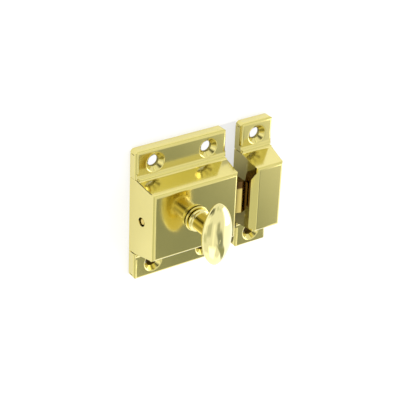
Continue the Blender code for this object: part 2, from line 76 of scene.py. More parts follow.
LOG = logging.getLogger("turn_catch")
Pair = tuple[float, float]
Colour = tuple[float, float, float]
Object = bpy.types.Object
Material = bpy.types.Material
Socket = bpy.types.NodeSocket
BMesh = bmesh.types.BMesh

BEND_STEPS = 12
ROUND_STEPS = 96
CLEAR = 0.002
OVERLAP = 0.00025
SAME_PLACE = 1e-8
SHARP_ANGLE = radians(28)
EASED_ANGLE = radians(30)
MARK_DEPTH = 0.00005
MARKS_SHARE = 0.4

# How an outline's two axes and its thickness lie in space, for a solid along X, Y or Z
ALONG_X = Matrix(((0, 0, 1), (0, -1, 0), (1, 0, 0)))
ALONG_Y = Matrix(((1, 0, 0), (0, 0, -1), (0, 1, 0)))
ALONG_Z = Matrix(((1, 0, 0), (0, -1, 0), (0, 0, 1)))


class Body(Enum):
    """The moving bodies that a piece can ride on."""

    CASE = "case"
    KNOB = "knob"
    BOLT = "bolt"


class Slot(Enum):
    """The record's material slots."""

    POLISHED = "polished_brass"
    KNOB = "knob_brass"
    BOLT = "bolt_brass"
    PLATE = "zinc_plate"
    PIN = "pin_steel"
    SPRING = "spring_steel"


class Graph:
    """A short way to build a node tree: a call makes a node, sets its sockets and links what feeds them."""

    def __init__(self, tree: bpy.types.NodeTree) -> None:
        """Takes the tree to build in."""
        self.tree = tree

    def node(self, kind: str, inputs: Optional[dict[Any, Any]] = None, **settings: Any) -> bpy.types.Node:
        """Makes one node.

        Args:
            kind: the node's type name.
            inputs: values or source sockets, by the input's name or number.
            settings: the node's own properties.

        Returns:
            The new node.
        """
        made = self.tree.nodes.new(kind)
        for name, value in settings.items():
            setattr(made, name, value)
        self.fill(made, inputs or {})
        return made

    def fill(self, node: bpy.types.Node, inputs: dict[Any, Any]) -> None:
        """Sets or links a node's inputs, given by name or number."""
        for key, value in inputs.items():
            if isinstance(value, Socket):
                self.tree.links.new(value, node.inputs[key])
            else:
                node.inputs[key].default_value = value

    def math(self, operation: str, *values: Any) -> Socket:
        """One step of arithmetic on sockets or numbers."""
        return self.node("ShaderNodeMath", dict(enumerate(values)), operation=operation).outputs[0]

    def times(self, *values: Any) -> Socket:
        """The product of sockets and numbers, the first of them a socket."""
        product = values[0]
        for value in values[1:]:
            product = self.math("MULTIPLY", product, value)
        return product

    def spread(self, value: Any, low: float, high: float, to: Pair = (0.0, 1.0), **settings: Any) -> Socket:
        """Maps a value from one range to another, and holds it at the ends."""
        ends = {"Value": value, "From Min": low, "From Max": high, "To Min": to[0], "To Max": to[1]}
        return self.node("ShaderNodeMapRange", ends, **settings).outputs[0]

    def mix(self, factor: Any, first: Any, second: Any) -> Socket:
        """Blends two colours, each a socket or three numbers; a factor of 1 gives the second."""
        inputs = {"Factor": factor}
        for key, colour in (("A", first), ("B", second)):
            inputs[key] = colour if isinstance(colour, Socket) else (*colour, 1.0)
        return self.node("ShaderNodeMix", inputs, data_type="RGBA").outputs["Result"]

    def noise(self, place: Socket, scale: float, detail: float, roughness: float) -> Socket:
        """A noise texture's value."""
        inputs = {"Vector": place, "Scale": scale, "Detail": detail, "Roughness": roughness}
        return self.node("ShaderNodeTexNoise", inputs).outputs["Fac"]

    def parts(self, vector: Socket) -> Any:
        """The three parts of a vector."""
        return self.node("ShaderNodeSeparateXYZ", {0: vector}).outputs

    def vector(self, x: Any = 0.0, y: Any = 0.0, z: Any = 0.0) -> Socket:
        """A vector of three sockets or numbers."""
        return self.node("ShaderNodeCombineXYZ", {0: x, 1: y, 2: z}).outputs[0]


@dataclass(frozen=True)
class Patch:
    """A box where a metal has another tone, with soft sides; here it paints shade.

    Its spans give the number of an object axis and the two places between which the patch lies on it.
    """

    tone: Colour
    spans: tuple[tuple[int, Pair], ...]
    soft: float = 0.0008

    def over(self, graph: Graph, place: Socket, colour: Socket) -> Socket:
        """Lays the patch over a metal's colour.

        Args:
            graph: the material's graph.
            place: the socket with the object coordinates.
            colour: the socket with the colour under the patch.

        Returns:
            The socket with the colour and the patch over it.
        """
        parts = graph.parts(place)
        outside = 0.0
        for axis, (low, high) in self.spans:
            half = (high - low) / 2
            away = graph.math("ABSOLUTE", graph.math("SUBTRACT", parts[axis], low + half))
            outside = graph.math("MAXIMUM", outside, graph.spread(away, half - self.soft, half + self.soft))
        return graph.mix(outside, self.tone, colour)


@dataclass(frozen=True)
class Metal:
    """A worked metal: two close tones, a polish that drifts a little, and marks that run one way."""

    tone: Colour
    deep_tone: Colour
    roughness: Pair
    grain: Colour = (1.0, 1.0, 1.0)
    grain_scale: float = 900.0
    grain_depth: float = 0.02
    cloud_scale: float = 60.0
    coat: float = 0.0
    coat_roughness: float = 0.05
    patches: tuple[Patch, ...] = ()

    def build(self, name: str) -> Material:
        """Builds the material's nodes under a name."""
        material = bpy.data.materials.new(name)
        material.use_nodes = True
        graph = Graph(material.node_tree)
        place = graph.node("ShaderNodeTexCoord").outputs["Object"]
        cloud = graph.noise(place, self.cloud_scale, 3.0, 0.5)
        colour = graph.mix(cloud, self.deep_tone, self.tone)
        for patch in self.patches:
            colour = patch.over(graph, place, colour)
        stretched = graph.node("ShaderNodeMapping", {"Vector": place, "Scale": self.grain}).outputs[0]
        marks = graph.noise(stretched, self.grain_scale, 4.0, 0.6)
        blend = graph.math("MULTIPLY_ADD", marks, MARKS_SHARE, graph.times(cloud, 1 - MARKS_SHARE))
        relief = {"Height": marks, "Strength": self.grain_depth, "Distance": MARK_DEPTH}
        finish = {
            "Base Color": colour,
            "Metallic": 1.0,
            "Roughness": graph.spread(blend, 0.3, 0.7, self.roughness),
            "Normal": graph.node("ShaderNodeBump", relief).outputs[0],
            "Coat Weight": self.coat,
            "Coat Roughness": self.coat_roughness,
        }
        graph.fill(material.node_tree.nodes["Principled BSDF"], finish)
        return material


# Painted shade: a darker tone on the knob's neck, between its bead and the grip.
PAINTED_NECK_SHADE = Patch((0.62, 0.50, 0.10), ((1, (-0.0262, -0.0170)),))
# Painted shade: a dark brown tone over the bolt nose's end beside the keeper, and over the nose's upper
# part.
NOSE_SHADE_TONE = (0.15, 0.08, 0.022)
PAINTED_NOSE_SHADE = (
    Patch(NOSE_SHADE_TONE, ((0, (0.0223, 0.0300)),), 0.0003),
    Patch(NOSE_SHADE_TONE, ((0, (0.0180, 0.0300)), (2, (0.0035, 0.0100))), 0.0003),
)
METALS = {
    Slot.POLISHED: Metal((0.78, 0.685, 0.225), (0.755, 0.66, 0.20), (0.12, 0.15), coat=1.0),
    Slot.KNOB: Metal(
        (0.87, 0.79, 0.34), (0.85, 0.77, 0.32), (0.04, 0.07), coat=1.0, patches=(PAINTED_NECK_SHADE,)
    ),
    Slot.BOLT: Metal(
        (0.78, 0.62, 0.19), (0.74, 0.57, 0.16), (0.10, 0.16), grain_depth=0.03, patches=PAINTED_NOSE_SHADE
    ),
    Slot.PLATE: Metal((0.60, 0.60, 0.58), (0.50, 0.50, 0.49), (0.30, 0.46), grain_depth=0.08),
    Slot.PIN: Metal((0.52, 0.51, 0.49), (0.42, 0.41, 0.40), (0.28, 0.40), (1.0, 9.0, 1.0), 500.0, 0.12),
    Slot.SPRING: Metal((0.44, 0.44, 0.45), (0.34, 0.34, 0.35), (0.22, 0.32), grain_depth=0.06),
}


def inset(corners: Sequence[Any], distance: float) -> list[Vector]:
    """The corners of an anticlockwise outline moved inwards by a distance."""
    moved = []
    for i, corner in enumerate(corners):
        along = (Vector(corner) - Vector(corners[i - 1])).normalized()
        onward = (Vector(corners[(i + 1) % len(corners)]) - Vector(corner)).normalized()
        first = Vector((-along.y, along.x))
        second = Vector((-onward.y, onward.x))
        moved.append(Vector(corner) + (first + second) * distance / (1 + first.dot(second)))
    return moved


def rounded(corners: Sequence[Any], radii: Sequence[float], steps: int = BEND_STEPS) -> list[Vector]:
    """Rounds the corners of a closed outline.

    Args:
        corners: the outline's points.
        radii: one radius for each corner, or zero to leave it sharp.
        steps: how many chords an arc is drawn with.

    Returns:
        The points of the rounded outline.
    """
    points = []
    for i, (corner, radius) in enumerate(zip(corners, radii)):
        corner = Vector(corner)
        if radius <= 0:
            points.append(corner)
            continue
        back = (Vector(corners[i - 1]) - corner).normalized()
        onward = (Vector(corners[(i + 1) % len(corners)]) - corner).normalized()
        half = back.angle(onward) / 2
        centre = corner + (back + onward).normalized() * radius / sin(half)
        arm = corner + back * radius / tan(half) - centre
        turn = (pi - 2 * half) * (1 if back.cross(onward) < 0 else -1)
        for step in range(steps + 1):
            points.append(centre + Matrix.Rotation(turn * step / steps, 2) @ arm)
    return points


def box_outline(low: Pair, high: Pair, radius: float = 0.0) -> list[Vector]:
    """A rectangle between two corners, with rounded corners."""
    corners = [low, (high[0], low[1]), high, (low[0], high[1])]
    return rounded(corners, [radius] * 4)


def arc(centre: Pair, radius: float, start: float, end: float, steps: int = BEND_STEPS) -> list[Pair]:
    """Points along an arc, with angles in degrees."""
    turns = [radians(start + (end - start) * i / steps) for i in range(steps + 1)]
    return [(centre[0] + radius * cos(t), centre[1] + radius * sin(t)) for t in turns]


class Bench:
    """Where solids are shaped: it makes blanks, cuts and joins them, and clears its tools away."""

    def __init__(self) -> None:
        """Opens a collection for blanks and cutters."""
        self.scrap = bpy.data.collections.new("bench")
        bpy.context.scene.collection.children.link(self.scrap)

    def blank(self, name: str, bm: BMesh) -> Object:
        """Makes an object of a bmesh, its faces turned outwards."""
        bmesh.ops.remove_doubles(bm, verts=bm.verts, dist=SAME_PLACE)
        bmesh.ops.recalc_face_normals(bm, faces=bm.faces)
        mesh = bpy.data.meshes.new(name)
        bm.to_mesh(mesh)
        bm.free()
        obj = bpy.data.objects.new(name, mesh)
        self.scrap.objects.link(obj)
        return obj

    def prism(self, outline: Iterable[Any], axis: Matrix, low: float, high: float) -> Object:
        """A flat outline given thickness from low to high along the third column of a 3 by 3 matrix."""
        bm = bmesh.new()
        base = bm.faces.new([bm.verts.new(axis @ Vector((*point, low))) for point in outline])
        lifted = bmesh.ops.extrude_face_region(bm, geom=[base])["geom"]
        top = [item for item in lifted if isinstance(item, bmesh.types.BMVert)]
        bmesh.ops.translate(bm, verts=top, vec=axis @ Vector((0, 0, high - low)))
        return self.blank("prism", bm)

    def turned(self, profile: Sequence[Pair], closed: bool = True) -> Object:
        """Turns a profile of (radius, depth) points about the Y axis.

        Args:
            profile: the points, from the front to the back on the outer side.
            closed: whether the profile closes on itself, or ends on the axis.

        Returns:
            The closed solid.
        """
        bm = bmesh.new()
        points = [bm.verts.new((radius, -depth, 0)) for radius, depth in profile]
        for first, second in zip(points, points[1:]):
            bm.edges.new((first, second))
        if closed:
            bm.edges.new((points[-1], points[0]))
        geometry = bm.verts[:] + bm.edges[:]
        bmesh.ops.spin(bm, geom=geometry, axis=(0, 1, 0), angle=2 * pi, steps=ROUND_STEPS, use_merge=True)
        return self.blank("turned", bm)

    def bar(self, radius: float, low: float, high: float, axis: Matrix, at: Sequence[float]) -> Object:
        """A round bar between two places on the X axis, or between two depths."""
        outline = arc((0.0, 0.0), radius, 0, 360, ROUND_STEPS)[:-1]
        return self.moved(self.prism(outline, axis, low, high), at)

    def moved(self, obj: Object, by: Sequence[float]) -> Object:
        """Moves an object's mesh, and leaves the object at the origin."""
        obj.data.transform(Matrix.Translation(Vector(by)))
        return obj

    def boolean(
        self, obj: Object, other: Object, operation: str = "DIFFERENCE"
    ) -> Object:
        """Cuts, joins or intersects an object with another."""
        modifier = obj.modifiers.new("work", "BOOLEAN")
        modifier.operation = operation
        modifier.solver = "MANIFOLD"
        modifier.object = other
        return obj

    def eased(self, obj: Object, width: float, steps: int = 3) -> Object:
        """Rounds an object's sharp edges."""
        modifier = obj.modifiers.new("ease", "BEVEL")
        modifier.width = width
        modifier.segments = steps
        modifier.limit_method = "ANGLE"
        modifier.angle_limit = EASED_ANGLE
        return obj

    def plain(self, obj: Object, name: str) -> Object:
        """A new object in the scene that holds another's finished mesh, with no modifiers."""
        bpy.context.view_layer.update()
        graph = bpy.context.evaluated_depsgraph_get()
        mesh = bpy.data.meshes.new_from_object(obj.evaluated_get(graph))
        made = bpy.data.objects.new(name, mesh)
        bpy.context.scene.collection.objects.link(made)
        return made

    def finished(self, obj: Object, name: str, material: Material) -> Object:
        """Turns a worked solid into a plain mesh whose flats stay flat and whose rounds shade smooth.

        Args:
            obj: the solid with its cuts.
            name: the finished piece's name.
            material: its finish.

        Returns:
            The finished piece, at the origin.
        """
        rough = self.plain(obj, name + "_rough")
        rough.data.materials.clear()
        rough.data.materials.append(material)
        rough.data.polygons.foreach_set("material_index", [0] * len(rough.data.polygons))
        rough.data.shade_smooth()
        rough.data.set_sharp_from_angle(angle=SHARP_ANGLE)
        weighted = rough.modifiers.new("flats", "WEIGHTED_NORMAL")
        weighted.keep_sharp = True
        weighted.weight = 100
        made = self.plain(rough, name)
        bpy.data.objects.remove(rough)
        return made

    def shelved(self, obj: Object) -> Object:
        """Takes an object out of the scene and back to the bench."""
        bpy.context.scene.collection.objects.unlink(obj)
        self.scrap.objects.link(obj)
        return obj

    def clear(self) -> None:
        """Removes every blank and cutter."""
        for obj in list(self.scrap.objects):
            bpy.data.objects.remove(obj)
        bpy.data.collections.remove(self.scrap)


BENCH = Bench()


def fitted(piece: Object, body: Body, slot: Slot, *nodes: str) -> Object:
    """Lets a finished piece ride on its body and stand for its CAD nodes."""
    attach(piece, body.value)
    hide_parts(*nodes)
    LOG.info("%s: %d faces, rides on %s", piece.name, len(piece.data.polygons), body.value)
    return piece


class GeometryTree:
    """A Geometry Nodes tree with named inputs, which ends in Realize Instances and Set Material."""

    def __init__(self, name: str) -> None:
        """Opens an empty tree with a geometry output."""
        self.tree = bpy.data.node_groups.new(name, "GeometryNodeTree")
        self.graph = Graph(self.tree)
        self.tree.interface.new_socket("Geometry", in_out="INPUT", socket_type="NodeSocketGeometry")
        self.tree.interface.new_socket("Geometry", in_out="OUTPUT", socket_type="NodeSocketGeometry")
        self.entry = self.tree.nodes.new("NodeGroupInput")
        self.exit = self.tree.nodes.new("NodeGroupOutput")
        self.values: dict[str, Any] = {}

    def size(self, name: str, value: Any, kind: str = "NodeSocketFloat") -> Socket:
        """Adds a named input and remembers its value for the modifier; returns its socket."""
        self.tree.interface.new_socket(name, in_out="INPUT", socket_type=kind)
        self.values[name] = value
        return self.entry.outputs[name]

    def close(self, geometry: Socket) -> None:
        """Ends the tree in Realize Instances and Set Material."""
        material = self.size("Material", None, "NodeSocketMaterial")
        real = self.graph.node("GeometryNodeRealizeInstances", {0: geometry}).outputs[0]
        last = self.graph.node("GeometryNodeSetMaterial", {"Geometry": real, "Material": material})
        self.tree.links.new(last.outputs[0], self.exit.inputs[0])

    def made(self, material: Material) -> Object:
        """Runs the tree on an empty mesh on the bench; returns an object with the plain result."""
        self.values["Material"] = material
        host = bpy.data.objects.new(self.tree.name, bpy.data.meshes.new(self.tree.name))
        BENCH.scrap.objects.link(host)
        modifier = host.modifiers.new("nodes", "NODES")
        modifier.node_group = self.tree
        for item in self.tree.interface.items_tree:
            if item.in_out == "INPUT" and item.name in self.values:
                modifier[item.identifier] = self.values[item.name]
        result = BENCH.plain(host, self.tree.name)
        bpy.data.objects.remove(host)
        return result


@dataclass(frozen=True)
class Sheet:
    """The sheet and its folds, common to both shells.

    A seam's reach is in sheet thicknesses. A slope's seam stops so many outer bends behind the front. A
    relief's place is in its own radii from the slope's foot.
    """

    thickness: float = 0.0010
    inner_bend: float = 0.0003
    valley_bend: float = 0.0023
    seam: float = 0.00025
    seam_reach: float = 1.6
    seam_stop: float = 1.3
    relief: float = 0.0005
    relief_place: Colour = (0.5, 1.1, 0.8)
    corner: float = 0.0015
    height: float = 0.0508

    @property
    def outer_bend(self) -> float:
        """The outer radius of a fold."""
        return self.inner_bend + self.thickness


@dataclass(frozen=True)
class Countersinks:
    """Screw holes dimpled into the flanges, above and below, in one or two columns."""

    head_radius: float = 0.0039
    hole_radius: float = 0.0021
    land: float = 0.0009
    rows: float = 0.0398
    lip: float = 0.0008
    half_roll: float = radians(22.5)

    def dimple(self, flange: float, sheet: Sheet) -> Object:
        """The metal pressed back round one hole."""
        cone = self.head_radius - self.hole_radius
        end = flange - cone - self.land
        start = flange - sheet.thickness / 2
        wide = self.head_radius + sheet.thickness * (2**0.5 - 1) + sheet.thickness / 2
        profile = [(0.0, start), (wide, start), (wide - (start - end), end), (0.0, end)]
        return BENCH.turned(profile, closed=False)

    def sink(self, flange: float) -> Object:
        """The cutter for one hole: a drill, a cone, and a rim that rolls over into the flange's face."""
        cone = self.head_radius - self.hole_radius - self.lip * tan(self.half_roll)
        centre = (self.head_radius, flange - self.lip)
        roll = arc(centre, self.lip, 135, 90)
        profile = [(0.0, -CLEAR), (self.hole_radius, -CLEAR), (self.hole_radius, flange - cone)]
        profile += roll + [(centre[0], flange + CLEAR), (0.0, flange + CLEAR)]
        return BENCH.turned(profile, closed=False)

    def row_set(self, tool: Object, columns: int, pitch: float, middle: float) -> Object:
        """Copies of one tool at every hole, laid out by Geometry Nodes.

        Args:
            tool: the cutter or dimple on the Y axis.
            columns: how many holes stand side by side.
            pitch: the distance between the columns.
            middle: X of the middle of the columns.

        Returns:
            One object that holds every copy.
        """
        tree = GeometryTree("hole_rows")
        graph = tree.graph
        across = tree.size("Column Pitch", pitch)
        count = tree.size("Columns", columns, "NodeSocketInt")
        tall = tree.size("Row Pitch", self.rows)
        centre = tree.size("Middle", middle)
        shape = tree.size("Tool", tool, "NodeSocketObject")
        width = graph.times(across, graph.math("SUBTRACT", count, 1.0))
        start_x = graph.math("MULTIPLY_ADD", width, -0.5, centre)
        step = graph.vector(across)
        join = graph.node("GeometryNodeJoinGeometry")
        for half in (-0.5, 0.5):
            start = graph.vector(start_x, 0.0, graph.times(tall, half))
            row = {"Count": count, "Start Location": start, "Offset": step}
            graph.fill(join, {0: graph.node("GeometryNodeMeshLine", row).outputs[0]})
        copy = graph.node("GeometryNodeObjectInfo", {"Object": shape}).outputs["Geometry"]
        spread = graph.node("GeometryNodeInstanceOnPoints", {"Points": join.outputs[0], "Instance": copy})
        tree.close(spread.outputs[0])
        return BENCH.shelved(tree.made(bpy.data.materials.new("cutting_tool")))


@dataclass
class FoldedShell:
    """A shell folded from one sheet: two flanges, and between them a raised box with sloped ends."""

    name: str
    left: float
    right: float
    left_lean: float
    right_lean: float
    flange: float
    depth: float
    foot: float
    top: float
    columns: int
    pitch: float
    slope_reach: float = 1.6
    sheet: Sheet = Sheet()
    holes: Countersinks = Countersinks()

    def side(self, sign: int, depth: float) -> float:
        """X of the left (-1) or right (+1) wall's outer face at this depth."""
        if sign < 0:
            return self.left + self.left_lean * depth / self.depth
        return self.right - self.right_lean * depth / self.depth

    def slope(self, depth: float) -> float:
        """Half height of the raised box at this depth."""
        share = (depth - self.flange) / (self.depth - self.flange)
        return (self.foot + (self.top - self.foot) * share) / 2

    def plan(self, front: float, depth_in: float, bottom: float, top: float) -> Object:
        """The form seen from above, up to a front depth, between two heights."""
        back = -CLEAR if depth_in else 0.0
        leans = front > self.flange
        corners = [
            (self.side(-1, back) if leans else self.left, back),
            (self.side(1, back) if leans else self.right, back),
            (self.side(1, front) if leans else self.right, front),
            (self.side(-1, front) if leans else self.left, front),
        ]
        bend = self.sheet.outer_bend - depth_in
        outline = rounded(inset(corners, depth_in), [0, 0, bend, bend])
        return BENCH.prism(outline, ALONG_Z, bottom, top)

    def form(self, depth_in: float) -> Object:
        """The outer form, or the hollow that lies depth_in inside it."""
        back = -CLEAR if depth_in else 0.0
        bend = self.sheet.outer_bend - depth_in
        valley = self.sheet.valley_bend + depth_in
        half = self.sheet.height / 2
        profile = [
            (-half, back),
            (half, back),
            (half, self.flange),
            (self.foot / 2, self.flange),
            (self.top / 2, self.depth),
            (-self.top / 2, self.depth),
            (-self.foot / 2, self.flange),
            (-half, self.flange),
        ]
        radii = [0, 0, bend, valley, bend, bend, valley, bend]
        low, high = self.left - CLEAR, self.right + CLEAR
        form = BENCH.prism(rounded(inset(profile, depth_in), radii), ALONG_X, low, high)
        seam_height = self.foot / 2 + self.sheet.valley_bend
        walls = self.plan(self.depth, depth_in, -seam_height, seam_height)
        for sign in (1, -1):
            low_end, high_end = sorted((sign * self.foot / 2, sign * (half + CLEAR)))
            BENCH.boolean(walls, self.plan(self.flange, depth_in, low_end, high_end), "UNION")
        BENCH.boolean(form, walls, "INTERSECT")
        if not depth_in:
            corners = box_outline((self.left, -half), (self.right, half), self.sheet.corner)
            edge = BENCH.prism(corners, ALONG_Y, -CLEAR, self.depth + CLEAR)
            BENCH.boolean(form, edge, "INTERSECT")
        return form

    def blade(self, start: Vector, end: Vector, inward: Any, reach: float) -> Object:
        """A thin blade from start to end, for one seam; its reach is in sheet thicknesses."""
        inward = Vector(inward).normalized()
        along = (end - start).normalized()
        across = along.cross(inward).normalized()
        turn = Matrix((along, inward, across)).transposed().to_4x4()
        bm = bmesh.new()
        size = ((end - start).length, reach * self.sheet.thickness, self.sheet.seam)
        bmesh.ops.create_cube(bm, size=1.0)
        bmesh.ops.scale(bm, vec=size, verts=bm.verts)
        bmesh.ops.transform(bm, matrix=Matrix.Translation((start + end) / 2) @ turn, verts=bm.verts)
        return BENCH.blank("blade", bm)

    def cut_seams(self, shell: Object) -> None:
        """Opens the seams at the box's corners, beside the flanges and at the flanges' mitres."""
        sheet = self.sheet
        front = self.depth - sheet.seam_stop * sheet.outer_bend
        away = Vector(sheet.relief_place) * sheet.relief
        height = sheet.height / 2 - sheet.corner
        for sx, sz in ((-1, -1), (-1, 1), (1, -1), (1, 1)):
            foot = Vector((self.side(sx, self.flange), -self.flange, sz * self.foot / 2))
            head = Vector((self.side(sx, front), -front, sz * self.slope(front)))
            BENCH.boolean(shell, self.blade(foot, head, (-sx, 0, -sz), self.slope_reach))
            back = Vector((self.side(sx, 0), CLEAR, foot.z))
            BENCH.boolean(shell, self.blade(back, foot, (-sx, 0, 0), sheet.seam_reach))
            bm = bmesh.new()
            bmesh.ops.create_uvsphere(bm, u_segments=32, v_segments=16, radius=sheet.relief)
            bmesh.ops.translate(bm, verts=bm.verts, vec=foot + Vector((-sx * away.x, -away.y, sz * away.z)))
            BENCH.boolean(shell, BENCH.blank("relief", bm))
            edge = Vector((self.left if sx < 0 else self.right, CLEAR, sz * height))
            tip = edge - Vector((0, CLEAR + self.flange - sheet.outer_bend, 0))
            BENCH.boolean(shell, self.blade(edge, tip, (-sx, 0, 0), sheet.seam_reach))

    def shell(self) -> Object:
        """The folded shell with its screw holes and seams."""
        shell = self.form(0.0)
        BENCH.boolean(shell, self.form(self.sheet.thickness))
        middle = (self.left + self.right) / 2
        layout = (self.columns, self.pitch, middle)
        dimple, sink = self.holes.dimple(self.flange, self.sheet), self.holes.sink(self.flange)
        BENCH.boolean(shell, self.holes.row_set(dimple, *layout), "UNION")
        BENCH.boolean(shell, self.holes.row_set(sink, *layout))
        self.cut_seams(shell)
        return shell


@dataclass
class Bolt:
    """The sprung bolt: a flat window frame round the cam, a head, and the ramped nose."""

    depth: float = 0.0070
    travel: float = 0.0047
    turn: float = radians(50)
    thickness: float = 0.0054
    height: float = 0.0126
    corner: float = 0.0022
    tip: float = 0.0026
    nose_end: float = 0.024495
    shoulder: float = 0.0030
    head: float = 0.0040
    bar: float = 0.0031
    rail: float = 0.0015
    frame: float = 0.0024
    rod: float = 0.0011
    socket: float = 0.0022
    boss_wall: float = 0.0011
    gap: float = 0.0003
    push: float = -0.0019
    window_left: float = -0.0039
    window_step: float = -0.0030
    window_head: float = 0.0061
    brow: float = 0.0222
    brow_round: float = 0.0013
    fall: float = 0.00065
    fall_run: float = 0.0026
    block_ease: float = 0.0002
    rod_ease: float = 0.00025

    def build(self, brass: Material, case: FoldedShell) -> None:
        """Shapes the bolt and the rod in its tail.

        Args:
            brass: the finish of both.
            case: the case, whose right wall the bolt's head stops just inside.
        """
        low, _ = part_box("latch_bolt")
        rod_low, rod_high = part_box("guide_rod")
        window_foot = self.push - self.travel / sin(self.turn)
        head_end = case.side(1, self.depth + self.thickness / 2) - case.sheet.thickness - self.gap
        head_back = head_end - self.head
        back, front = self.depth - self.frame / 2, self.depth + self.frame / 2
        outer_low = (low.x, window_foot - self.rail)
        outer_high = (head_back + self.rail, self.window_head + self.rail)
        outline = box_outline(outer_low, outer_high, self.rail / 2)
        bolt = BENCH.prism(outline, ALONG_Y, back, front)
        window = rounded(
            [
                (self.push, window_foot),
                (head_back - self.bar / 2, window_foot),
                (head_back - self.bar / 2, self.window_head),
                (self.window_left, self.window_head),
                (self.window_left, self.window_step),
                (self.push, self.window_step),
            ],
            [self.gap, self.rail / 2, self.rail / 2, self.rail / 2, self.rail / 4, self.gap],
        )
        BENCH.boolean(bolt, BENCH.prism(window, ALONG_Y, back - CLEAR, front + CLEAR))
        back, front = self.depth - self.thickness / 2, self.depth + self.thickness / 2
        tall = (self.height + self.shoulder) / 2
        head = box_outline((head_back, back), (head_end, front))
        block = BENCH.prism(head, ALONG_Z, -tall, tall)
        BENCH.boolean(bolt, BENCH.eased(block, self.block_ease), "UNION")
        BENCH.boolean(bolt, self.nose(head_back + self.gap, back, front), "UNION")
        at = (0, -self.depth, 0)
        bore = self.rod + self.gap / 3
        boss_end = low.x + self.bar - self.gap
        BENCH.boolean(bolt, BENCH.bar(bore + self.boss_wall, low.x, boss_end, ALONG_X, at), "UNION")
        BENCH.boolean(bolt, BENCH.bar(bore, low.x - CLEAR, low.x + self.socket, ALONG_X, at))
        fitted(BENCH.finished(bolt, "spring_bolt", brass), Body.BOLT, Slot.BOLT, "latch_bolt")
        rod = BENCH.eased(BENCH.bar(self.rod, rod_low.x, rod_high.x, ALONG_X, at), self.rod_ease)
        fitted(BENCH.finished(rod, "tail_rod", brass), Body.BOLT, Slot.BOLT, "guide_rod")

    def nose(self, root: float, back: float, front: float) -> Object:
        """The nose: a tongue with rounded corners, a ramp on its back and a front that falls away.

        Args:
            root: X of its end inside the head.
            back: depth of its back.
            front: depth of its front.

        Returns:
            The nose, still to be joined to the head.
        """
        ramp = self.thickness - self.tip
        end, half = self.nose_end, self.height / 2
        plan = [
            ((root, back), 0.0),
            ((end - ramp, back), self.gap),
            ((end, back + ramp), self.gap),
            ((end, front), self.gap / 2),
            ((self.brow, front), self.brow_round),
            ((self.brow - self.fall_run, front - self.fall), 0.0),
            ((root, front - self.fall), 0.0),
        ]
        nose = BENCH.prism(rounded(*zip(*plan)), ALONG_Z, -half, half)
        corners = [(root, -half), (end, -half), (end, half), (root, half)]
        face = rounded(corners, [0, self.corner, self.corner, 0])
        shaped = BENCH.prism(face, ALONG_Y, back - self.gap, front + self.gap)
        return BENCH.boolean(nose, shaped, "INTERSECT")


@dataclass
class Knob:
    """The thumb knob: an oval grip on a turned neck and bead, with the spindle behind."""

    grip_depth: float = 0.0267
    width: float = 0.0120
    thickness: float = 0.0060
    height: float = 0.0241
    point: float = 1.15
    bead_radius: float = 0.0043
    bead: float = 0.0014
    neck: float = 0.0034
    seat: float = 0.0150
    spindle: float = 0.0026
    square: float = 0.0028
    square_front: float = 0.00815
    square_back: float = 0.00615
    pivot: float = 0.0015
    pivot_end: float = 0.0018
    seat_gap: float = 0.0001
    segments: int = 128
    rings: int = 80
    flare: float = 0.0007
    swell: float = 1.25

    def grip(self, brass: Material) -> Object:
        """The oval grip: Geometry Nodes draw a sphere in towards two blunt points."""
        tree = GeometryTree("oval_grip")
        graph = tree.graph
        sizes = {
            "Width": self.width,
            "Thickness": self.thickness,
            "Height": self.height,
            "Point": self.point,
            "Depth": self.grip_depth,
        }
        sockets = {name: tree.size(name, value) for name, value in sizes.items()}
        round_form = {"Segments": self.segments, "Rings": self.rings, "Radius": 1.0}
        ball = graph.node("GeometryNodeMeshUVSphere", round_form).outputs[0]
        x, y, z = graph.parts(graph.node("GeometryNodeInputPosition").outputs[0])
        girth = graph.math("SQRT", graph.math("ADD", graph.times(x, x), graph.times(y, y)))
        drawn = graph.math("POWER", girth, graph.math("SUBTRACT", sockets["Point"], 1.0))
        wide = graph.times(x, drawn, sockets["Width"], 0.5)
        forward = graph.math("SUBTRACT", graph.times(y, drawn, sockets["Thickness"], 0.5), sockets["Depth"])
        place = graph.vector(wide, forward, graph.times(z, sockets["Height"], 0.5))
        tree.close(graph.node("GeometryNodeSetPosition", {"Geometry": ball, "Position": place}).outputs[0])
        return BENCH.shelved(tree.made(brass))

    def profile(self) -> list[Pair]:
        """The turned part's outline, from the neck's end inside the grip to the end of the spindle."""
        back, flare = self.seat + self.seat_gap, self.flare
        front = back + self.bead
        neck_end = self.grip_depth - self.thickness / 2
        points = [(0.0, self.grip_depth), (self.neck * self.swell, self.grip_depth)]
        points += arc((self.neck + flare * 2, neck_end - flare), flare * 2, 110, 180)
        points += [(self.neck, (front + neck_end) / 2)]
        points += arc((self.neck + flare, front + flare * 0.9), flare, 180, 262)
        ease = self.bead / 2
        points += arc((self.bead_radius - ease, front - ease), ease, 90, 0)
        points += arc((self.bead_radius - ease, back + ease), ease, 0, -90)
        points += [(self.spindle, back), (self.spindle, self.square_front), (0.0, self.square_front)]
        return points

    def build(self, brass: Material) -> None:
        """Joins the grip, the turned part, the square and the pivot into one piece."""
        knob = BENCH.turned(self.profile(), closed=False)
        BENCH.boolean(knob, self.grip(brass), "UNION")
        half = self.square / 2
        outline = box_outline((-half, -half), (half, half))
        front = self.square_front + OVERLAP
        BENCH.boolean(knob, BENCH.prism(outline, ALONG_Y, self.square_back, front), "UNION")
        pivot = BENCH.bar(self.pivot, self.pivot_end, self.square_back + OVERLAP, ALONG_Y, (0, 0, 0))
        BENCH.boolean(knob, pivot, "UNION")
        fitted(BENCH.finished(knob, "oval_knob", brass), Body.KNOB, Slot.KNOB, "turn_knob")


